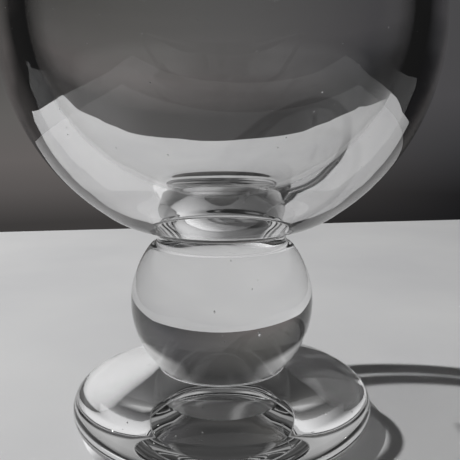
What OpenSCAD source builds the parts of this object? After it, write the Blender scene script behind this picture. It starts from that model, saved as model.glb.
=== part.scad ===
// Light mill: a sealed glass bulb on a solid glass knop and foot. Four vanes, bright on one
// side and black on the other, turn on a needle that a glass stirrup carries from the crown.
// Millimetres, +Z up. The origin is the middle of the ring that the foot rests on.

/* [Bulb] */
// Outer radius of the bulb
bulb_r = 40; // [38:0.5:42]
// Height of the bulb's centre above the table
bulb_z = 76; // [76:0.5:78]
// Radius of the evacuated space
cavity_r = 34.4; // [34:0.1:35]
// How far the evacuated space sits above the bulb's centre, which makes the floor thick
cavity_lift = 2.4; // [2:0.1:3]
// Height of the drawn-off tip above the bulb
tip_h = 8; // [6:0.5:12]
// Radius of the tip's rounded end
tip_end_r = 1.7; // [1:0.1:2.5]

/* [Knop and neck] */
// Radius of the solid ball
knop_r = 17.9; // [17.5:0.1:18.5]
// Height of the ball's centre
knop_z = 24.6; // [24.5:0.1:25]
// Height of the ring where the ball meets the neck
neck_low_z = 37; // [36.5:0.1:37.2]
// Height where the neck meets the bulb
neck_top_z = 38.2; // [38.1:0.1:38.4]
// Radius of the groove round the neck, in section
groove_r = 0.8; // [0.7:0.05:1.2]
// Depth of that groove
groove_d = 0.25; // [0.1:0.05:0.3]

/* [Foot] */
// Outer radius of the foot
foot_r = 29.7; // [28:0.1:32]
// Radius of the rounded rim in section
rim_r = 4; // [3.5:0.1:4.5]
// Height of the foot's top, where the ball stands
foot_h = 11.7; // [11.5:0.1:12]
// Radius of the shallow hollow in the underside
hollow_r = 12; // [8:0.5:18]
// Depth of that hollow
hollow_d = 0.8; // [0.2:0.1:1.5]

/* [Hanger] */
// Radius of the stirrup's long arc, from the middle of the evacuated space
stirrup_r = 29.5; // [29:0.1:30]
// Radius of the stirrup's glass rod
rod_r = 1.1; // [0.8:0.1:1.3]
// Height of the stirrup's cross rod
cross_z = 86; // [85.5:0.1:86.5]
// Radius of the fused bead at each end of the cross rod
bead_r = 1.6; // [1.4:0.1:2]
// Outer radius of the guard tube
tube_r = 2.4; // [2.2:0.1:3]
// Bore radius of the guard tube
tube_bore_r = 1.05; // [1:0.05:1.3]
// Height of the guard tube's open end
tube_low_z = 100.2; // [100:0.1:101]
// Radius of the glass boss at the crown
boss_r = 5; // [4:0.5:6]
// How far the boss hangs below the crown
boss_h = 2.2; // [1.5:0.1:3]

/* [Needle bearing] */
// Height of the needle's point
point_z = 98; // [97.8:0.1:98.2]
// Radius of the needle
needle_r = 0.4; // [0.3:0.05:0.5]
// Length of the ground point
point_h = 2.2; // [1.5:0.1:3]
// Radius of the needle holder
holder_r = 1.6; // [1.3:0.1:2]
// Height of the needle holder above the cross rod's middle
holder_h = 4.6; // [4:0.1:5]
// Bore radius of the glass cup
cup_bore_r = 0.9; // [0.8:0.05:1]
// Outer radius of the glass cup
cup_r = 1.5; // [1.4:0.05:1.6]
// Length of the cup's straight wall
cup_h = 3.8; // [3.4:0.1:4.4]
// Radius of the spike on top of the cup
spike_r = 0.5; // [0.4:0.05:0.6]
// Height of the spike above the cup
spike_h = 4; // [3:0.1:5]

/* [Vane wheel] */
// Height of the arms
arm_z = 95.5; // [95.2:0.1:95.8]
// Radius of an arm's wire
arm_r = 0.32; // [0.25:0.01:0.35]
// Outer radius of the hub
hub_r = 2.7; // [2.3:0.1:3]
// Height of the hub
hub_h = 2; // [1.6:0.1:2.4]
// Distance of a vane's middle from the axis
vane_at = 13.5; // [12:0.1:14]
// From a vane's middle to each of its four corners
vane_half = 6.2; // [5:0.1:6.4]
// Thickness of a vane's bright plate
vane_t = 0.2; // [0.1:0.05:0.3]
// Thickness of the black coat
coat_t = 0.12; // [0.08:0.02:0.2]
// Bare edge left round the black coat
coat_inset = 0.35; // [0.2:0.05:0.6]
// Turn of the wheel at rest
rest_turn = 28; // [0:1:89]

/* [Hidden] */
$fn = 96;

// colours
clear_glass = [0.86, 0.90, 0.90, 0.35];
steel = [0.72, 0.73, 0.75];
bright_foil = [0.85, 0.85, 0.86];
lampblack = [0.05, 0.05, 0.05];

// bulb
cavity_z = bulb_z + cavity_lift;
crown_z = cavity_z + cavity_r;
tip_low_z = bulb_z + bulb_r - 0.3;
tip_low_r = sqrt(bulb_r * bulb_r - pow(tip_low_z - bulb_z, 2));
top_z = bulb_z + bulb_r + tip_h;

// knop, neck and foot
neck_low_r = sqrt(knop_r * knop_r - pow(neck_low_z - knop_z, 2));
neck_top_r = sqrt(bulb_r * bulb_r - pow(bulb_z - neck_top_z, 2));
rim_mid_r = foot_r - rim_r;
knop_base_r = sqrt(knop_r * knop_r - pow(knop_z - foot_h, 2));
// The foot's top is a cone that runs from the ball down to the rounded rim and touches it.
top_run = rim_mid_r - knop_base_r;
top_drop = foot_h - rim_r;
top_slope = atan(top_drop / top_run) - asin(rim_r / norm([top_run, top_drop]));
hollow_ball_r = (hollow_r * hollow_r + hollow_d * hollow_d) / (2 * hollow_d);

// stirrup: half the cross rod's length, and the long arc's turn from the crown to its end
cross_x = sqrt(stirrup_r * stirrup_r - pow(cross_z - cavity_z, 2));
arc_turn = acos((cross_z - cavity_z) / stirrup_r);

// bearing
holder_top_z = cross_z + holder_h;
needle_low_z = holder_top_z - 2.5;
cup_dome_z = point_z + 0.02 - cup_bore_r;
cup_low_z = cup_dome_z - cup_h;

// Thickness of the boss at its lower edge
boss_toe = 0.3;
// How far a cutting shape runs past what it cuts
slack = 1;

// A square standing on its corner, with its middle on the arms' level.
module diamond(half, thick) {
    translate([vane_at, 0, arm_z])
        rotate([90, 0, 0])
            linear_extrude(height = thick)
                polygon([[half, 0], [0, half], [-half, 0], [0, -half]]);
}

module at_arm(i) {
    rotate([0, 0, rest_turn + 90 * (i - 1)])
        children();
}

module foot() {
    color(clear_glass)
        difference() {
            rotate_extrude() {
                translate([rim_mid_r, rim_r])
                    circle(r = rim_r);
                polygon([
                    [0, 0],
                    [rim_mid_r, 0],
                    [rim_mid_r, rim_r],
                    [rim_mid_r + rim_r * sin(top_slope), rim_r + rim_r * cos(top_slope)],
                    [knop_base_r, foot_h],
                    [0, foot_h]
                ]);
            }
            translate([0, 0, hollow_d - hollow_ball_r])
                sphere(r = hollow_ball_r, $fn = 240);
        }
}

module ball_knop() {
    color(clear_glass)
        intersection() {
            translate([0, 0, knop_z])
                sphere(r = knop_r);
            translate([0, 0, foot_h])
                cylinder(h = neck_low_z - foot_h, r = knop_r + slack);
        }
}

// The neck: a short solid disc with a shallow groove round it.
module neck_collar() {
    neck_h = neck_top_z - neck_low_z;
    color(clear_glass)
        translate([0, 0, neck_low_z])
            difference() {
                cylinder(h = neck_h, r1 = neck_low_r, r2 = neck_top_r);
                rotate_extrude()
                    translate([neck_low_r - groove_d + groove_r, neck_h / 2])
                        circle(r = groove_r, $fn = 48);
            }
}

module bulb() {
    color(clear_glass)
        difference() {
            translate([0, 0, bulb_z])
                sphere(r = bulb_r, $fn = 180);
            translate([0, 0, cavity_z])
                sphere(r = cavity_r, $fn = 180);
            translate([0, 0, neck_top_z - bulb_r])
                cylinder(h = bulb_r, r = bulb_r);
            translate([0, 0, tip_low_z])
                cylinder(h = slack, r = tip_low_r + slack);
        }
}

module seal_tip() {
    tip_dome_z = top_z - tip_end_r;
    color(clear_glass) {
        translate([0, 0, tip_low_z])
            cylinder(h = tip_dome_z - tip_low_z, r1 = tip_low_r, r2 = tip_end_r);
        translate([0, 0, tip_dome_z])
            sphere(r = tip_end_r);
    }
}

module crown_boss() {
    color(clear_glass)
        difference() {
            intersection() {
                translate([0, 0, cavity_z])
                    sphere(r = cavity_r, $fn = 180);
                translate([0, 0, crown_z - boss_h])
                    cylinder(h = boss_h, r1 = tube_r + boss_toe, r2 = boss_r);
            }
            cylinder(h = top_z, r = tube_r);
        }
}

module guard_tube() {
    color(clear_glass)
        difference() {
            intersection() {
                translate([0, 0, tube_low_z])
                    cylinder(h = top_z - tube_low_z, r = tube_r);
                translate([0, 0, cavity_z])
                    sphere(r = cavity_r, $fn = 180);
            }
            translate([0, 0, tube_low_z - slack])
                cylinder(h = spike_h + 2 * slack, r = tube_bore_r);
        }
}

// A rod bent along the bulb, closed below by a straight cross rod with a bead at each end.
module stirrup() {
    color(clear_glass)
        difference() {
            union() {
                translate([0, 0, cavity_z])
                    rotate([90, 0, 0])
                        rotate([0, 0, 90 - arc_turn])
                            rotate_extrude(angle = 2 * arc_turn, $fn = 180)
                                translate([stirrup_r, 0])
                                    circle(r = rod_r, $fn = 32);
                translate([-cross_x, 0, cross_z])
                    rotate([0, 90, 0])
                        cylinder(h = 2 * cross_x, r = rod_r, $fn = 32);
                for (side = [-1, 1])
                    translate([side * cross_x, 0, cross_z])
                        sphere(r = bead_r, $fn = 48);
            }
            translate([0, 0, tube_low_z])
                cylinder(h = top_z - tube_low_z, r = tube_r);
        }
}

module needle_holder() {
    taper_h = 2;
    color(clear_glass)
        difference() {
            translate([0, 0, cross_z]) {
                cylinder(h = holder_h - taper_h, r = holder_r);
                translate([0, 0, holder_h - taper_h])
                    cylinder(h = taper_h, r1 = holder_r, r2 = 2 * needle_r);
            }
            translate([-holder_r - slack, 0, cross_z])
                rotate([0, 90, 0])
                    cylinder(h = 2 * (holder_r + slack), r = rod_r, $fn = 32);
            translate([0, 0, needle_low_z])
                cylinder(h = holder_h, r = needle_r);
        }
}

module needle() {
    color(steel) {
        translate([0, 0, needle_low_z])
            cylinder(h = point_z - point_h - needle_low_z, r = needle_r);
        translate([0, 0, point_z - point_h])
            cylinder(h = point_h, r1 = needle_r, r2 = needle_r / 10);
    }
}

// The glass cup that rides on the needle's point, with the spike that the tube guards.
module rotor_cup() {
    color(clear_glass)
        difference() {
            union() {
                translate([0, 0, cup_low_z])
                    cylinder(h = cup_h, r = cup_r);
                translate([0, 0, cup_dome_z])
                    sphere(r = cup_r);
                translate([0, 0, cup_dome_z])
                    cylinder(h = cup_r + spike_h, r = spike_r);
            }
            translate([0, 0, cup_low_z - slack])
                cylinder(h = cup_h + slack, r = cup_bore_r);
            translate([0, 0, cup_dome_z])
                sphere(r = cup_bore_r);
        }
}

module rotor_hub() {
    color(steel)
        translate([0, 0, arm_z - hub_h / 2])
            difference() {
                cylinder(h = hub_h, r = hub_r);
                translate([0, 0, -slack])
                    cylinder(h = hub_h + 2 * slack, r = cup_r);
            }
}

// One arm: a wire from the hub whose slit end grips the vane.
module arm(i) {
    grip = 2.2;
    color(steel)
        at_arm(i)
            difference() {
                translate([0, 0, arm_z])
                    rotate([0, 90, 0])
                        cylinder(h = vane_at - vane_half + grip, r = arm_r, $fn = 32);
                cylinder(h = top_z, r = hub_r);
                vane_plate();
                vane_coat();
            }
}

module vane_plate() {
    diamond(vane_half, vane_t);
}

module vane_coat() {
    translate([0, coat_t, 0])
        diamond(vane_half - coat_inset, coat_t);
}

module vane(i) {
    color(bright_foil)
        at_arm(i)
            vane_plate();
}

module vane_black(i) {
    color(lampblack)
        at_arm(i)
            vane_coat();
}

foot();
ball_knop();
neck_collar();
bulb();
seal_tip();
crown_boss();
guard_tube();
stirrup();
needle_holder();
needle();
rotor_cup();
rotor_hub();
for (i = [1:4]) {
    arm(i);
    vane(i);
    vane_black(i);
}
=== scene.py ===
import math
import random

import bmesh
import bpy
from mathutils import Matrix, Vector, noise


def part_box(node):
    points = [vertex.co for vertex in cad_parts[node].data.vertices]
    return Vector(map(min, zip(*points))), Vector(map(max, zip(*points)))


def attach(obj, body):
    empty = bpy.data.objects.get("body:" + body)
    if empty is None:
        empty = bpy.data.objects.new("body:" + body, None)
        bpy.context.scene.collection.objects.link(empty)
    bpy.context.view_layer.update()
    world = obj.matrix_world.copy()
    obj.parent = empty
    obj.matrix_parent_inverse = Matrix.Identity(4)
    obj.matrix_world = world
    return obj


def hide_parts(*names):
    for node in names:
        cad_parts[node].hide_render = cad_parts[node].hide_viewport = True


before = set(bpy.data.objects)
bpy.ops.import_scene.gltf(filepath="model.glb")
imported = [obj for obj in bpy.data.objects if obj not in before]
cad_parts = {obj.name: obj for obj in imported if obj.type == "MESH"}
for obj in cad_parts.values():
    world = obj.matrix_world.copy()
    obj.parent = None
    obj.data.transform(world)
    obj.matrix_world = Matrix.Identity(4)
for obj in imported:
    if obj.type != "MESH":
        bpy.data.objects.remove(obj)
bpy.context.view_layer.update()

MM = 0.001
GLASS_IOR = 1.5
ROUND_STEPS = 180          # divisions round the big glass
SMALL_STEPS = 40           # divisions round the small lathed pieces


# ---------------------------------------------------------------- sizes, in millimetres

def cad(node):
    """The lowest and highest corners of a CAD node in millimetres."""
    low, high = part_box(node)
    return low / MM, high / MM


_, foot_high = cad("foot")
_, knop_high = cad("ball_knop")
_, bulb_high = cad("bulb")
tip_low, tip_high = cad("seal_tip")
boss_low, boss_high = cad("crown_boss")
tube_low, _ = cad("guard_tube")
_, holder_high = cad("needle_holder")
needle_low, needle_high = cad("needle")
cup_low, cup_high = cad("rotor_cup")
hub_low, hub_high = cad("rotor_hub")

# The foot, the ball and the neck.
RIM_R = 4.0                # the foot's rounded rim, in section
HOLLOW_R = 12.0            # the shallow hollow under the foot
HOLLOW_D = 0.8             # its depth in the middle
KNOP_R = knop_high.x
KNOP_Z = 24.6              # height of the ball's middle
NECK_R = 12.5              # the neck's waist
NECK_LOW_Z = 36.1          # where the neck leaves the ball
NECK_TOP_Z = 39.4          # where the neck meets the bulb's base
NECK_FLARE = 0.3           # how far the neck opens at both ends
NECK_SHOULDER = 0.8        # how far the bulb's base starts outside the waist

# The bulb and its space.
BULB_R = bulb_high.x
BULB_Z = 76.0              # height of the bulb's middle
BLEND_R = 23.0             # where the flatter base runs into the round bulb
CAVITY_R = 34.4
CAVITY_Z = BULB_Z + 2.4    # the space sits higher than the bulb, so the floor is thick
TIP_END_R = 1.7            # the rounded end of the sealed tip

# The inner works.
TUBE_R = 2.4               # the guard tube
TUBE_BORE_R = 1.05
TUBE_BORE_TOP = 105.0      # height of the bore's closed end
ROD_R = 1.1                # the stirrup's rod
BEAD_R = 1.6               # its thickened corners
CROSS_Z = 86.0             # height of its cross rod
STIRRUP_R = 29.5           # how far the bow stands from the middle of the space
ARM_Z = (hub_low.z + hub_high.z) / 2
ARM_R = 0.32
VANE_AT = 13.5             # from the axis to a vane's middle
VANE_HALF = 6.2            # from a vane's middle to its corners
VANE_T = 0.2
COAT_T = 0.12
COAT_INSET = 0.35          # how far the soot stops short of the vane's corners
REST_TURN = 28.0           # where the first arm points at rest, in degrees from +X


# ---------------------------------------------------------------- outlines

def arc(mid_r, mid_z, radius, start, end, step=2.0):
    """Points (r, z) along an arc, from one angle to another in degrees."""
    count = max(2, int(abs(end - start) / step) + 1)
    angles = [math.radians(start + (end - start) * k / count) for k in range(count + 1)]
    return [(mid_r + radius * math.cos(a), mid_z + radius * math.sin(a)) for a in angles]


def resampled(points, spacing, closed=False):
    """The same line with evenly spaced points."""
    line = [Vector(p) for p in points]
    if closed:
        line.append(line[0])
    lengths = [(b - a).length for a, b in zip(line, line[1:])]
    count = max(2, round(sum(lengths) / spacing))
    step = sum(lengths) / count
    out, k, gone = [], 0, 0.0
    for i in range(count + (0 if closed else 1)):
        want = i * step
        while k < len(lengths) - 1 and gone + lengths[k] < want:
            gone += lengths[k]
            k += 1
        share = (want - gone) / lengths[k] if lengths[k] else 0.0
        out.append(line[k].lerp(line[k + 1], min(1.0, share)))
    return out


def softened(points, radius, spacing=0.1, closed=False):
    """The line with its corners rounded off by about radius. Its ends stay where they are."""
    line = resampled(points, spacing, closed)
    reach = max(1, round(radius / spacing))
    for _ in range(4):
        moved = []
        for i, p in enumerate(line):
            span = reach if closed else min(reach, i, len(line) - 1 - i)
            near = [line[(i + k) % len(line)] for k in range(-span, span + 1)]
            moved.append(sum(near, Vector([0.0] * len(p))) / len(near))
        line = moved
    return line


def thinned(line, turn=2.5, longest=2.5):
    """Drops points where the line hardly bends. turn is in degrees."""
    kept, bend, gone = [line[0]], 0.0, 0.0
    for before, here, after in zip(line, line[1:], line[2:]):
        one, two = here - before, after - here
        if one.length > 0 and two.length > 0:
            bend += math.degrees(one.angle(two))
        gone += one.length
        if bend >= turn or gone >= longest:
            kept.append(here)
            bend, gone = 0.0, 0.0
    return kept + [line[-1]]


# ---------------------------------------------------------------- mesh helpers

def ring_pairs(rings, closed):
    """Each ring with the next one, and the last with the first where the row is closed."""
    return list(zip(rings, rings[1:] + (rings[:1] if closed else [])))


def add_lathe(bm, outline, steps):
    """Adds the surface swept by an outline (r, z in millimetres) round the axis. An end on
    the axis becomes one point; otherwise the outline is closed on itself."""
    closed = outline[0][0] > 1e-6
    rings = []
    for r, z in outline:
        if r <= 1e-6:
            rings.append([bm.verts.new((0, 0, z * MM))])
            continue
        ring = []
        for k in range(steps):
            a = 2 * math.pi * k / steps
            ring.append(bm.verts.new((r * MM * math.cos(a), r * MM * math.sin(a), z * MM)))
        rings.append(ring)
    for one, two in ring_pairs(rings, closed):
        for k in range(steps):
            n = (k + 1) % steps
            corners = [one[k % len(one)], one[n % len(one)], two[n % len(two)], two[k % len(two)]]
            unique = list(dict.fromkeys(corners))
            if len(unique) > 2:
                bm.faces.new(unique)


def add_tube(bm, path, sections, steps, closed=False):
    """Adds a tube along path (Vectors in millimetres). sections gives (half width, half
    height, tilt axis) for each point, or one radius for each."""
    rings = []
    count = len(path)
    for i, p in enumerate(path):
        ahead = path[(i + 1) % count] if closed or i + 1 < count else p
        behind = path[i - 1] if closed or i > 0 else p
        along = (ahead - behind).normalized()
        wide, high, up = sections[i] if isinstance(sections[i], tuple) else (
            sections[i], sections[i], Vector((0, 1, 0)))
        side = along.cross(up).normalized()
        over = side.cross(along).normalized()
        ring = []
        for k in range(steps):
            a = 2 * math.pi * k / steps
            ring.append(bm.verts.new((p + side * wide * math.cos(a) + over * high * math.sin(a)) * MM))
        rings.append(ring)
    for one, two in ring_pairs(rings, closed):
        for k in range(steps):
            n = (k + 1) % steps
            bm.faces.new((one[k], one[n], two[n], two[k]))
    if not closed:
        bm.faces.new(list(reversed(rings[0])))
        bm.faces.new(rings[-1])


def linked(name, data):
    """A new object in the scene that shows a mesh, lamp or camera."""
    made = bpy.data.objects.new(name, data)
    bpy.context.scene.collection.objects.link(made)
    return made


def finished(bm, name, body, replaced, material, smooth=40.0):
    """Makes the piece from bm: outward normals, shading, material, body and nodes.
    Edges sharper than smooth degrees stay sharp."""
    bmesh.ops.recalc_face_normals(bm, faces=bm.faces)
    return placed(bm, name, body, replaced, material, smooth)


def placed(bm, name, body, replaced, material, smooth=40.0):
    """The same for a piece whose normals are already right, as where it holds a space."""
    mesh = bpy.data.meshes.new(name)
    bm.to_mesh(mesh)
    bm.free()
    piece = linked(name, mesh)
    mesh.materials.append(material)
    mesh.set_sharp_from_angle(angle=math.radians(smooth))
    for face in mesh.polygons:
        face.use_smooth = True
    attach(piece, body)
    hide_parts(*replaced)
    return piece


# ---------------------------------------------------------------- materials

class Nodes:
    """A short way to write a node tree: add nodes, set their values and link them."""

    def __init__(self, tree):
        self.tree = tree
        self.tree.nodes.clear()

    def add(self, kind, values=None, **settings):
        node = self.tree.nodes.new(kind)
        for name, value in settings.items():
            setattr(node, name, value)
        for socket, value in (values or {}).items():
            self.feed(node.inputs[socket], value)
        return node

    def feed(self, socket, value):
        if isinstance(value, bpy.types.NodeSocket):
            self.tree.links.new(value, socket)
        else:
            socket.default_value = value


def new_material(name):
    material = bpy.data.materials.new(name)
    material.use_nodes = True
    return material, Nodes(material.node_tree)


def noise_value(nodes, place, scale, detail=3.0, roughness=0.5):
    return nodes.add("ShaderNodeTexNoise", {
        "Vector": place, "Scale": scale, "Detail": detail, "Roughness": roughness}).outputs["Fac"]


def ramp(nodes, value, stops):
    """A colour ramp over value. Stops are (position, grey) or (position, (r, g, b))."""
    node = nodes.add("ShaderNodeValToRGB", {"Fac": value})
    ends = node.color_ramp.elements
    while len(ends) < len(stops):
        ends.new(0.5)
    for end, (at, colour) in zip(ends, stops):
        end.position = at
        rgb = colour if isinstance(colour, tuple) else (colour,) * 3
        end.color = (*rgb, 1.0)
    return node.outputs["Color"]


GLASS_WAVE = 0.00001       # height of the waves in the glass's surface, in metres
MOST_BOUNCES = 5.5         # past this many bounces the glass lets a ray out


def glass_surface(nodes, place):
    """Smooth clear glass with faint hand-worked waves, fine wipe marks and a few dust specks."""
    waves = noise_value(nodes, place, 90.0, 2.0, 0.45)
    marks = noise_value(nodes, place, 420.0, 4.0, 0.6)
    rough = nodes.add("ShaderNodeMapRange", {
        "Value": marks, "From Min": 0.62, "From Max": 0.8, "To Min": 0.0, "To Max": 0.01})
    bump = nodes.add("ShaderNodeBump", {"Height": waves, "Strength": 1.0, "Distance": GLASS_WAVE})
    glass = nodes.add("ShaderNodeBsdfPrincipled", {
        "Base Color": (1.0, 1.0, 1.0, 1.0), "Transmission Weight": 1.0, "IOR": GLASS_IOR,
        "Roughness": rough.outputs["Result"], "Normal": bump.outputs["Normal"]})
    spots = nodes.add("ShaderNodeTexVoronoi", {"Vector": place, "Scale": 230.0})
    specks = ramp(nodes, spots.outputs["Distance"], [(0.022, 0.6), (0.034, 0.0)])
    dust = nodes.add("ShaderNodeBsdfDiffuse", {"Color": (0.7, 0.7, 0.7, 1.0)})
    dusty = nodes.add("ShaderNodeMixShader", {"Fac": specks, 1: glass.outputs[0], 2: dust.outputs[0]})
    return dusty.outputs[0]


def glass_shadow(nodes, place):
    """The tint that a shadow ray takes from the glass, in place of the caustics of real glass.
    Above the foot, light passes where it meets the surface squarely and stops where it grazes.
    In the foot, a fixed mask by place paints the light on the table: extra light under the side towards
    the sun and painted shadow, less light, under the other side."""
    edge_on = nodes.add("ShaderNodeLayerWeight", {"Blend": 0.5}).outputs["Facing"]
    round_part = ramp(nodes, edge_on, [(0.48, 0.92), (0.55, 0.02)])
    # painted light and shadow: a fixed mask by place in the foot, lighter towards the sun, darker away
    # from it
    from_sun = nodes.add("ShaderNodeVectorMath", {0: place, 1: (1.0, -0.6, 0.0)}, operation="DOT_PRODUCT")
    share = nodes.add("ShaderNodeMapRange", {
        "Value": from_sun.outputs["Value"], "From Min": -0.03, "From Max": 0.01})
    painted_foot_light_and_shade = ramp(nodes, share.outputs["Result"], [(0.3, 1.3), (0.5, 0.45)])
    height = nodes.add("ShaderNodeSeparateXYZ", {"Vector": place}).outputs["Z"]
    above = nodes.add("ShaderNodeMath", {
        0: height, 1: (foot_high.z + 0.1) * MM}, operation="GREATER_THAN")
    tint = nodes.add("ShaderNodeMix", {
        "Factor": above.outputs[0], "A": painted_foot_light_and_shade, "B": round_part}, data_type="RGBA")
    return nodes.add("ShaderNodeBsdfTransparent", {"Color": tint.outputs["Result"]}).outputs[0]


def glass_material(name):
    """Clear glass. Total reflection traps some light in the foot until the renderer drops it,
    which would leave black patches there. So a ray with many bounces behind it passes straight
    through, a little dimmed. Shadow rays take their own tint."""
    material, nodes = new_material(name)
    place = nodes.add("ShaderNodeTexCoord").outputs["Object"]
    ray = nodes.add("ShaderNodeLightPath").outputs
    trapped = nodes.add("ShaderNodeMath", {0: ray["Ray Depth"], 1: MOST_BOUNCES}, operation="GREATER_THAN")
    let_out = nodes.add("ShaderNodeBsdfTransparent", {"Color": (0.6, 0.6, 0.6, 1.0)})
    lit = nodes.add("ShaderNodeMixShader", {
        "Fac": trapped.outputs[0], 1: glass_surface(nodes, place), 2: let_out.outputs[0]})
    total = nodes.add("ShaderNodeMixShader", {
        "Fac": ray["Is Shadow Ray"], 1: lit.outputs[0], 2: glass_shadow(nodes, place)})
    nodes.add("ShaderNodeOutputMaterial", {"Surface": total.outputs[0]})
    return material


def metal_material(name, colour, rough, scale, stretch):
    """Metal with drawn or turned marks: noise, stretched or squeezed by axis, sets the roughness."""
    material, nodes = new_material(name)
    place = nodes.add("ShaderNodeTexCoord").outputs["Object"]
    stretched = nodes.add("ShaderNodeMapping", {"Vector": place, "Scale": stretch}).outputs[0]
    marks = noise_value(nodes, stretched, scale, 4.0, 0.6)
    stain = noise_value(nodes, place, scale / 6, 3.0)
    dark = tuple(c * 0.72 for c in colour)
    tone = ramp(nodes, stain, [(0.35, dark), (0.65, colour)])
    polish = nodes.add("ShaderNodeMapRange", {
        "Value": marks, "To Min": rough * 0.6, "To Max": rough * 1.6}).outputs["Result"]
    bump = nodes.add("ShaderNodeBump", {"Height": marks, "Strength": 0.4, "Distance": 0.00002})
    shader = nodes.add("ShaderNodeBsdfPrincipled", {
        "Base Color": tone, "Metallic": 1.0, "Roughness": polish, "Normal": bump.outputs[0]})
    nodes.add("ShaderNodeOutputMaterial", {"Surface": shader.outputs[0]})
    return material


def soot_material(name):
    """Lampblack: nearly black, dead matt, with a velvety grain and paler thin patches."""
    material, nodes = new_material(name)
    place = nodes.add("ShaderNodeTexCoord").outputs["Object"]
    cloud = noise_value(nodes, place, 350.0, 5.0, 0.65)
    grain = noise_value(nodes, place, 5200.0, 3.0, 0.6)
    tone = ramp(nodes, cloud, [(0.3, (0.006, 0.006, 0.006)), (0.75, (0.028, 0.026, 0.024))])
    bump = nodes.add("ShaderNodeBump", {"Height": grain, "Strength": 0.8, "Distance": 0.00005})
    shader = nodes.add("ShaderNodeBsdfPrincipled", {
        "Base Color": tone, "Roughness": 0.95, "Specular IOR Level": 0.12,
        "Normal": bump.outputs[0]})
    nodes.add("ShaderNodeOutputMaterial", {"Surface": shader.outputs[0]})
    return material


# ---------------------------------------------------------------- the fused glass

def outer_outline():
    """The glass's outside, from the middle of the underside up to the sealed tip."""
    foot_h = foot_high.z
    rim_mid = foot_high.x - RIM_R
    base_r = math.sqrt(KNOP_R ** 2 - (KNOP_Z - foot_h) ** 2)
    hollow_ball = (HOLLOW_R ** 2 + HOLLOW_D ** 2) / (2 * HOLLOW_D)
    hollow_edge = math.degrees(math.acos(HOLLOW_R / hollow_ball))
    run, drop = rim_mid - base_r, foot_h - RIM_R
    slope = math.atan2(drop, run) - math.asin(RIM_R / math.hypot(run, drop))
    knop_from = math.degrees(math.asin((foot_h - KNOP_Z) / KNOP_R))
    knop_to = math.degrees(math.asin((NECK_LOW_Z - KNOP_Z) / KNOP_R))
    bulb_from = -math.degrees(math.acos(BLEND_R / BULB_R))
    bulb_to = math.degrees(math.asin((tip_low.z - BULB_Z) / BULB_R))
    tip_round_z = tip_high.z - TIP_END_R
    line = arc(0, HOLLOW_D - hollow_ball, hollow_ball, 90, hollow_edge)
    line += arc(rim_mid, RIM_R, RIM_R, -90, 90 - math.degrees(slope))
    line += arc(0, KNOP_Z, KNOP_R, knop_from, knop_to)
    line += [(NECK_R + NECK_FLARE, NECK_LOW_Z + 0.2), (NECK_R, NECK_LOW_Z + 0.7),
             (NECK_R, NECK_TOP_Z - NECK_SHOULDER), (NECK_R + NECK_FLARE, NECK_TOP_Z - NECK_FLARE)]
    base_from = NECK_R + NECK_SHOULDER
    base_rise = BULB_Z - math.sqrt(BULB_R ** 2 - BLEND_R ** 2) - NECK_TOP_Z
    for k in range(14):
        share = k / 14
        line.append((base_from + (BLEND_R - base_from) * share, NECK_TOP_Z + base_rise * share ** 2))
    line += arc(0, BULB_Z, BULB_R, bulb_from, bulb_to)
    for k in range(1, 12):
        share = k / 12
        line.append((TIP_END_R + (tip_high.x - TIP_END_R) * (1 - share) ** 2.2,
                     tip_low.z + (tip_round_z - tip_low.z) * share))
    line += arc(0, tip_round_z, TIP_END_R, 0, 90, 10)
    return line


def cavity_outline():
    """The evacuated space, from its floor up to the crown, round the boss and guard tube."""
    boss_r = boss_high.x
    start_z = CAVITY_Z + math.sqrt(CAVITY_R ** 2 - boss_r ** 2)
    toe_z = boss_low.z
    line = arc(0, CAVITY_Z, CAVITY_R, -90, math.degrees(math.acos(boss_r / CAVITY_R)))
    for k in range(1, 10):
        share = k / 10
        line.append((TUBE_R + (boss_r - TUBE_R) * (1 - share) ** 2.5,
                     start_z + (toe_z - start_z) * share))
    line.append((TUBE_R, toe_z - 0.5))
    lip = (TUBE_R - TUBE_BORE_R) / 2
    line += arc(TUBE_R - lip, tube_low.z + lip, lip, 0, -180, 15)
    line += arc(0, TUBE_BORE_TOP - TUBE_BORE_R, TUBE_BORE_R, 0, 90, 15)
    return line


def on_axis(line):
    """Puts both ends exactly on the axis."""
    line[0] = Vector((0.0, line[0][1]))
    line[-1] = Vector((0.0, line[-1][1]))
    return line


def hand_worked(bm):
    """Moves the surface a few hundredths of a millimetre, since hot-worked glass never is a
    perfect figure: more on the pressed foot than on the ball and the blown bulb."""
    for v in bm.verts:
        z = v.co.z / MM
        amount = 0.05 if z < foot_high.z else 0.018
        wave = noise.noise(v.co * 70.0) + 0.35 * noise.noise(v.co * 190.0 + Vector((7, 3, 1)))
        side = Vector((v.co.x, v.co.y, 0.0))
        if side.length > 4 * MM:
            v.co += side.normalized() * wave * amount * MM


def add_seeds(bm, rng):
    """Adds seed bubbles, which are tiny voids: a string of them that rises from the foot into
    the ball, some in the foot and some in the ball."""
    spots = []
    for k in range(9):
        spots.append((10.6 + rng.uniform(-0.3, 0.3), -5.0 + k * 0.35, 8.2 + k * 0.62))
    for _ in range(16):
        a, r = rng.uniform(0, 2 * math.pi), 22.0 * math.sqrt(rng.random())
        spots.append((r * math.cos(a), r * math.sin(a), rng.uniform(3.2, 6.4)))
    for _ in range(10):
        a, r = rng.uniform(0, 2 * math.pi), 14.0 * rng.random()
        spots.append((r * math.cos(a), r * math.sin(a), KNOP_Z + rng.uniform(-9, 9)))
    for spot in spots:
        size = rng.uniform(0.07, 0.17) * MM
        shape = Matrix.Translation(Vector(spot) * MM) @ Matrix.Diagonal((1, 1, rng.uniform(1, 1.7), 1))
        made = bmesh.ops.create_icosphere(bm, subdivisions=2, radius=size, matrix=shape)
        faces = {f for v in made["verts"] for f in v.link_faces}
        bmesh.ops.reverse_faces(bm, faces=list(faces))


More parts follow.
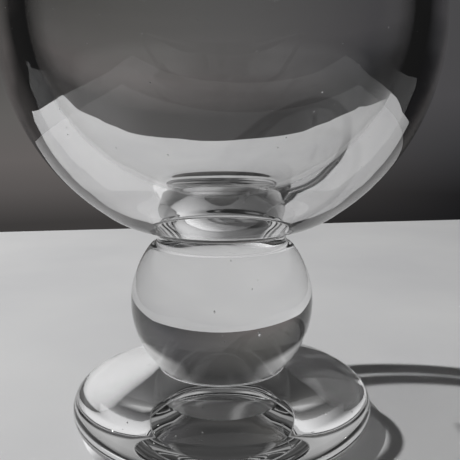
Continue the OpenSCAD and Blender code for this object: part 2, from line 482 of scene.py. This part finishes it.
def make_glass_body(material):
    """Foot, knop, neck, bulb, tip, crown boss and guard tube are fused in the flame, so they
    are one skin of glass round one sealed space."""
    outside = bmesh.new()
    add_lathe(outside, thinned(on_axis(softened(outer_outline(), 0.22))), ROUND_STEPS)
    bmesh.ops.recalc_face_normals(outside, faces=outside.faces)
    hand_worked(outside)
    space = bmesh.new()
    add_lathe(space, thinned(on_axis(softened(cavity_outline(), 0.15)), longest=3.0), ROUND_STEPS)
    bmesh.ops.recalc_face_normals(space, faces=space.faces)
    bmesh.ops.reverse_faces(space, faces=space.faces)
    add_seeds(outside, random.Random(11))
    cavity = bpy.data.meshes.new("cavity")
    space.to_mesh(cavity)
    space.free()
    outside.from_mesh(cavity)
    bpy.data.meshes.remove(cavity)
    return placed(outside, "glass_body", "stand",
                  ["foot", "ball_knop", "neck_collar", "bulb", "seal_tip", "crown_boss", "guard_tube"],
                  material, smooth=80.0)


# ---------------------------------------------------------------- the inner works

def make_stirrup(material):
    """A glass rod bent along the bulb from the guard tube, closed below by a cross rod. It
    swells to a bead at each corner and where it joins the tube."""
    half_x = math.sqrt(STIRRUP_R ** 2 - (CROSS_Z - CAVITY_Z) ** 2)
    sunk = 0.15                # how far the bow's ends go into the tube's wall
    start = math.degrees(math.asin((TUBE_R - sunk) / STIRRUP_R))
    end = math.degrees(math.acos((CROSS_Z - CAVITY_Z) / STIRRUP_R))
    right = [(x, 0.0, z) for x, z in arc(0, CAVITY_Z, STIRRUP_R, 90 - start, 90 - end)]
    left = [(-x, y, z) for x, y, z in reversed(right)]
    path = softened([Vector(p) for p in right + left], 0.8, spacing=0.25)
    path = resampled(path, 0.5)
    radii = []
    for p in path:
        from_corner = (abs(p.x) - half_x) ** 2 + (p.z - CROSS_Z) ** 2
        bead = (BEAD_R - ROD_R) * math.exp(-from_corner / 3.0)
        at_tube = p.z > CROSS_Z + 9
        root = 0.5 * math.exp(-((abs(p.x) - TUBE_R) / 0.9) ** 2) if at_tube else 0.0
        radii.append(ROD_R + bead + root)
    bm = bmesh.new()
    add_tube(bm, path, radii, 28)
    return finished(bm, "stirrup_glass", "stand", ["stirrup"], material, smooth=70.0)


def small_lathe(line, soft, spacing, turn, longest):
    """A new bmesh with a small round piece. line is its outline, with corners rounded by soft;
    turn and longest say how coarse it may be."""
    bm = bmesh.new()
    add_lathe(bm, thinned(on_axis(softened(line, soft, spacing)), turn, longest), SMALL_STEPS)
    return bm


def make_needle_holder(material):
    """A drop of glass drawn up from the cross rod, with the needle sunk in its top."""
    top, foot_z = holder_high.z, CROSS_Z + 0.35
    foot_r, waist_r, hole_r = holder_high.x, 0.75, 0.43
    line = [(0.0, foot_z), (foot_r, foot_z), (foot_r, foot_z + 0.5)]
    for k in range(1, 9):
        share = k / 8
        line.append((waist_r + (foot_r - waist_r) * (1 - share) ** 1.7,
                     foot_z + 0.5 + (top - foot_z - 0.8) * share))
    line += [(hole_r, top), (hole_r, needle_low.z), (0.0, needle_low.z)]
    bm = small_lathe(line, 0.08, 0.04, 8.0, 0.8)
    return finished(bm, "needle_bead", "stand", ["needle_holder"], material,
                    smooth=70.0)


def make_needle(material):
    """A sewing-needle shank with a long ground point."""
    r, low, high = needle_high.x, needle_low.z, needle_high.z
    line = [(0.0, low), (r, low), (r, high - 2.3), (r * 0.72, high - 1.3), (r * 0.36, high - 0.5),
            (0.03, high), (0.0, high)]
    bm = small_lathe(line, 0.06, 0.02, 6.0, 1.0)
    return finished(bm, "steel_needle", "stand", ["needle"], material)


def make_cup(material):
    """The inverted glass cup with its spike, hollow up to the bearing dome."""
    r, low, high = cup_high.x, cup_low.z, cup_high.z
    bore, spike_r, spike_flare = 0.9, 0.42, 0.34
    play = 0.02                # between the needle's point and the dome
    dome_z = needle_high.z + play - bore
    lip = (r - bore) / 2
    spike_from = dome_z + r * 0.9
    line = list(reversed(arc(0, dome_z, bore, 0, 90, 8)))
    line += arc(bore + lip, low + lip, lip, 180, 360, 20)
    line += arc(0, dome_z, r, 0, 62, 6)
    for k in range(1, 8):
        share = k / 8
        line.append((spike_r + spike_flare * (1 - share) ** 2,
                     spike_from + (high - spike_from - 0.5) * share))
    line += arc(0, high - spike_r, spike_r, 0, 90, 15)
    bm = small_lathe(line, 0.05, 0.025, 6.0, 0.7)
    return finished(bm, "bearing_cup", "vane_wheel", ["rotor_cup"], material,
                    smooth=70.0)


def make_hub(material):
    """A turned ring with chamfered edges and a groove, pressed on the cup."""
    inner, outer, low, high = cup_high.x + 0.01, hub_high.x, hub_low.z, hub_high.z
    chamfer, groove_d, groove_half = 0.22, 0.14, 0.45
    groove_edge, mid = groove_half + 0.1, (low + high) / 2
    line = [(inner, low), (outer - chamfer, low), (outer, low + chamfer),
            (outer, mid - groove_edge), (outer - groove_d, mid - groove_half),
            (outer - groove_d, mid + groove_half), (outer, mid + groove_edge),
            (outer, high - chamfer), (outer - chamfer, high), (inner, high)]
    line = softened(line, 0.03, 0.02, closed=True)
    bm = bmesh.new()
    add_lathe(bm, thinned(line, 10.0, 0.5), 72)
    return finished(bm, "turned_hub", "vane_wheel", ["rotor_hub"], material)


def turned(i):
    """Where arm number i points, as a matrix."""
    return Matrix.Rotation(math.radians(REST_TURN + 90.0 * (i - 1)), 4, "Z")


def make_arm(i, material):
    """A wire from the hub, with a solder fillet at its root and two flat jaws on the vane."""
    bm = bmesh.new()
    vane_from = VANE_AT - VANE_HALF
    start, wire_end = hub_high.x - 0.1, vane_from + 0.25
    jaw_from, jaw_end = vane_from - 0.45, vane_from + 2.2
    soot_jaw_t, foil_jaw_t = 0.17, 0.13
    path = [Vector((start + (wire_end - start) * k / 24, 0.0, ARM_Z)) for k in range(25)]
    radii = [ARM_R * 0.93 + 0.3 * math.exp(-(p.x - start) / 0.45) for p in path]
    add_tube(bm, path, radii, 20)
    up = Vector((0, 1, 0))
    for low, high in ((COAT_T, COAT_T + soot_jaw_t), (-VANE_T - foil_jaw_t, -VANE_T)):
        mid, half = (low + high) / 2, (high - low) / 2
        path, sections = [], []
        for k in range(17):
            share = k / 16
            path.append(Vector((jaw_from + (jaw_end - jaw_from) * share, mid, ARM_Z)))
            wide = 0.2 + 0.22 * math.sin(math.pi * min(1.0, share * 1.25 + 0.1)) ** 0.7
            if share > 0.9:
                wide *= 0.75
            sections.append((wide, half, up))
        add_tube(bm, path, sections, 16)
    bm.transform(turned(i))
    return finished(bm, f"wire_arm_{i}", "vane_wheel", [f"arm_{i}"], material)


def dished(u, v, seed):
    """How far a vane's sheet stands off its plane, in millimetres, at u, v from -1 to 1."""
    wave = noise.noise(Vector((u * 1.3, v * 1.3, seed * 5.0)))
    return 0.05 * wave + 0.03 * (u * u - v * v)


def add_sheet(bm, half, near, far, seed, cells, ragged=0.0):
    """Adds a thin square standing on its corner, with cells by cells faces on each side. near
    and far are where its two sides lie; ragged is how far its border frays, as a share."""
    faces = []
    for level in (near, far):
        rows = []
        for i in range(cells + 1):
            row = []
            for j in range(cells + 1):
                a, b = 2 * i / cells - 1, 2 * j / cells - 1
                edge = max(abs(a), abs(b))
                ease = 1 - 0.035 * (a * b) ** 2
                if edge > 0.99 and ragged:
                    ease -= ragged * (0.5 + 0.5 * noise.noise(Vector((a * 9, b * 9, seed + 3.0))))
                u, v = a * ease, b * ease
                x = (u + v) / 2 * half
                z = (v - u) / 2 * half
                y = level + dished(x / VANE_HALF, z / VANE_HALF, seed)
                row.append(bm.verts.new(Vector((VANE_AT + x, y, ARM_Z + z)) * MM))
            rows.append(row)
        faces.append(rows)
    for rows in faces:
        for i in range(cells):
            for j in range(cells):
                bm.faces.new((rows[i][j], rows[i + 1][j], rows[i + 1][j + 1], rows[i][j + 1]))
    one, two = faces
    border = [(i, 0) for i in range(cells)] + [(cells, j) for j in range(cells)]
    border += [(cells - i, cells) for i in range(cells)] + [(0, cells - j) for j in range(cells)]
    for (i, j), (m, n) in zip(border, border[1:] + border[:1]):
        bm.faces.new((one[i][j], one[m][n], two[m][n], two[i][j]))


def make_vane(i, bright, black):
    """The bright sheet and the soot on its other face, a hair apart."""
    gap = 0.004
    bm = bmesh.new()
    add_sheet(bm, VANE_HALF, -VANE_T, -gap, i, 36)
    bm.transform(turned(i))
    finished(bm, f"bright_vane_{i}", "vane_wheel", [f"vane_{i}"], bright)
    bm = bmesh.new()
    add_sheet(bm, VANE_HALF - COAT_INSET, gap, COAT_T, i, 48, ragged=0.03)
    bm.transform(turned(i))
    finished(bm, f"soot_coat_{i}", "vane_wheel", [f"vane_black_{i}"], black)


# ---------------------------------------------------------------- stage, light and camera

# The table, in millimetres from the glass's axis to its edges.
TABLE_BACK = 214.0
TABLE_LEFT = 140.0
TABLE_RIGHT = 170.0
TABLE_FRONT = 105.0
TABLE_THICK = 18.0
TABLE_ROUND = 3.0          # radius of its edges
TABLE_GAP = 0.02           # how far its top lies under the foot
TABLE_TURN = 8.5           # in degrees

# The lamps, in metres.
SUN_AT = (-0.45, 0.18, 0.84)
FILL_AT = (-0.1, -0.1, 0.8)
GLINTS_AT = [(-0.4, -0.1, 0.8), (-0.62, 0.2, 0.56)]
LAMPS_AIM = (0.0, 0.0, 0.05)

# The camera, in metres, degrees and millimetres.
CAMERA_AT = (0.0016, -0.1272, 0.0628)
CAMERA_DOWN = 10.8
CAMERA_LENS = 52.0
CAMERA_SENSOR = 36.0


def make_table():
    """A pale painted table top with softly rounded edges."""
    bm = bmesh.new()
    bmesh.ops.create_cube(bm, size=1.0)
    for v in bm.verts:
        v.co.x = (TABLE_RIGHT if v.co.x > 0 else -TABLE_LEFT) * MM
        v.co.y = (TABLE_BACK if v.co.y > 0 else -TABLE_FRONT) * MM
        v.co.z = ((v.co.z - 0.5) * TABLE_THICK - TABLE_GAP) * MM
    bmesh.ops.bevel(bm, geom=bm.edges[:], offset=TABLE_ROUND * MM, segments=4, affect="EDGES", profile=0.5)
    mesh = bpy.data.meshes.new("table_top")
    bm.to_mesh(mesh)
    bm.free()
    table = linked("table_top", mesh)
    table.rotation_euler.z = math.radians(TABLE_TURN)
    material, nodes = new_material("pale_paint")
    place = nodes.add("ShaderNodeTexCoord").outputs["Object"]
    cloud = noise_value(nodes, place, 14.0, 3.0, 0.5)
    grain = noise_value(nodes, place, 900.0, 4.0, 0.6)
    tone = ramp(nodes, cloud, [(0.3, (0.66, 0.66, 0.67)), (0.7, (0.75, 0.75, 0.75))])
    bump = nodes.add("ShaderNodeBump", {"Height": grain, "Strength": 0.3, "Distance": 0.0001})
    shader = nodes.add("ShaderNodeBsdfPrincipled", {
        "Base Color": tone, "Roughness": 0.7, "Specular IOR Level": 0.3, "Normal": bump.outputs[0]})
    nodes.add("ShaderNodeOutputMaterial", {"Surface": shader.outputs[0]})
    mesh.materials.append(material)


def make_world():
    """A dim studio: a grey wall behind, warmer and paler at the left, darker to its foot and at
    the right; nearly black to the sides, with a soft glow at half height on both; grey behind
    the camera. It shows in the glass and the metal but doesn't light the table."""
    world = bpy.data.worlds.new("studio")
    world.use_nodes = True
    bpy.context.scene.world = world
    world.cycles_visibility.diffuse = False
    nodes = Nodes(world.node_tree)
    way = nodes.add("ShaderNodeSeparateXYZ", {
        "Vector": nodes.add("ShaderNodeTexCoord").outputs["Generated"]})

    def along(axis, low, high, stops):
        """A ramp over one axis of the direction from which the light comes, from low to high."""
        share = nodes.add("ShaderNodeMapRange", {
            "Value": way.outputs[axis], "From Min": low, "From Max": high}).outputs["Result"]
        return ramp(nodes, share, stops)

    def mixed(kind, factor, one, two):
        return nodes.add("ShaderNodeMix", {"Factor": factor, "A": one, "B": two},
                         data_type="RGBA", blend_type=kind).outputs["Result"]

    left = along("Z", -0.2, 0.4, [(0.05, (0.048, 0.045, 0.044)), (0.13, (0.100, 0.092, 0.090)),
                                  (0.2, (0.128, 0.117, 0.114)), (0.3, (0.118, 0.113, 0.109)),
                                  (0.44, (0.088, 0.086, 0.082)), (1.0, (0.04, 0.04, 0.04))])
    right = along("Z", -0.2, 0.4, [(0.05, (0.009, 0.009, 0.010)), (0.12, (0.011, 0.011, 0.012)),
                                   (0.23, (0.038, 0.038, 0.041)), (0.35, (0.065, 0.063, 0.067)),
                                   (0.56, (0.066, 0.065, 0.068)), (1.0, (0.03, 0.03, 0.03))])
    wall = mixed("MIX", along("X", -0.5, 0.5, [(0.3, 0.0), (0.85, 1.0)]), left, right)
    seen = along("Y", -1.0, 1.0, [(0.84, 0.0), (0.93, 1.0)])
    room = along("Y", -1.0, 1.0, [(0.0, 0.16), (0.3, 0.06), (0.55, 0.01), (0.84, 0.008)])
    overhead = along("Z", 0.0, 1.0, [(0.45, 0.0), (0.9, 0.05)])
    sides = mixed("ADD", 1.0, along("X", -1.0, 1.0, [(0.2, 0.9), (0.36, 0.0)]),
                  along("X", -1.0, 1.0, [(0.64, 0.0), (0.8, 0.9)]))
    band = along("Z", 0.0, 1.0, [(0.24, 0.0), (0.34, 0.5), (0.62, 0.4), (0.8, 0.0)])
    glow = mixed("MULTIPLY", 1.0, sides, band)
    total = mixed("ADD", 1.0, mixed("MIX", seen, room, wall), mixed("ADD", 1.0, overhead, glow))
    sky = nodes.add("ShaderNodeBackground", {"Color": total, "Strength": 1.0})
    nodes.add("ShaderNodeOutputWorld", {"Surface": sky.outputs[0]})


def aim(obj, at):
    """Turns a lamp towards a point."""
    direction = Vector(at) - obj.location
    obj.rotation_euler = direction.to_track_quat("-Z", "Y").to_euler()


def add_area(name, place, size, power):
    """Adds a round lamp of a size in metres and a power in watts."""
    light = bpy.data.lights.new(name, "AREA")
    light.shape = "DISK"
    light.size = size
    light.energy = power
    lamp = linked(name, light)
    lamp.location = place
    aim(lamp, LAMPS_AIM)
    return lamp


def make_lights():
    """A small strong sun for the firm shadow, a wide weak fill, and two glints that only show
    in the glass. Sun and fill don't show in it, where they would make bright patches."""
    sun = add_area("sun", SUN_AT, 0.02, 7.0)
    fill = add_area("soft_top", FILL_AT, 0.4, 0.4)
    for lamp in (sun, fill):
        lamp.visible_transmission = False
        lamp.visible_glossy = False
    for number, place in enumerate(GLINTS_AT):
        glint = add_area(f"glint_{number}", place, 0.015, 0.1)
        glint.visible_diffuse = False


def make_camera():
    """The photograph's view: from the front, a little above, close to the glass."""
    lens = bpy.data.cameras.new("camera")
    lens.sensor_width = CAMERA_SENSOR
    lens.lens = CAMERA_LENS
    lens.clip_start = 0.01
    camera = linked("camera", lens)
    camera.location = CAMERA_AT
    camera.rotation_euler = (math.radians(90.0 - CAMERA_DOWN), 0.0, 0.0)
    bpy.context.scene.camera = camera


# ---------------------------------------------------------------- putting it together

make_camera()
clear = glass_material("clear_glass")
make_glass_body(clear)
make_stirrup(clear)
make_needle_holder(clear)
make_cup(clear)
make_needle(metal_material("polished_steel", (0.62, 0.62, 0.64), 0.12, 900.0, (1, 1, 0.1)))
make_hub(metal_material("turned_aluminium", (0.82, 0.82, 0.83), 0.2, 1400.0, (0.3, 0.3, 3)))
wire = metal_material("drawn_wire", (0.68, 0.67, 0.66), 0.24, 1600.0, (1, 1, 1))
foil = metal_material("bright_foil", (0.9, 0.9, 0.9), 0.16, 500.0, (1, 1, 0.25))
soot = soot_material("lampblack")
for number in range(1, 5):
    make_arm(number, wire)
    make_vane(number, foil, soot)
make_table()
make_world()
make_lights()
bpy.context.scene.view_settings.view_transform = "Standard"
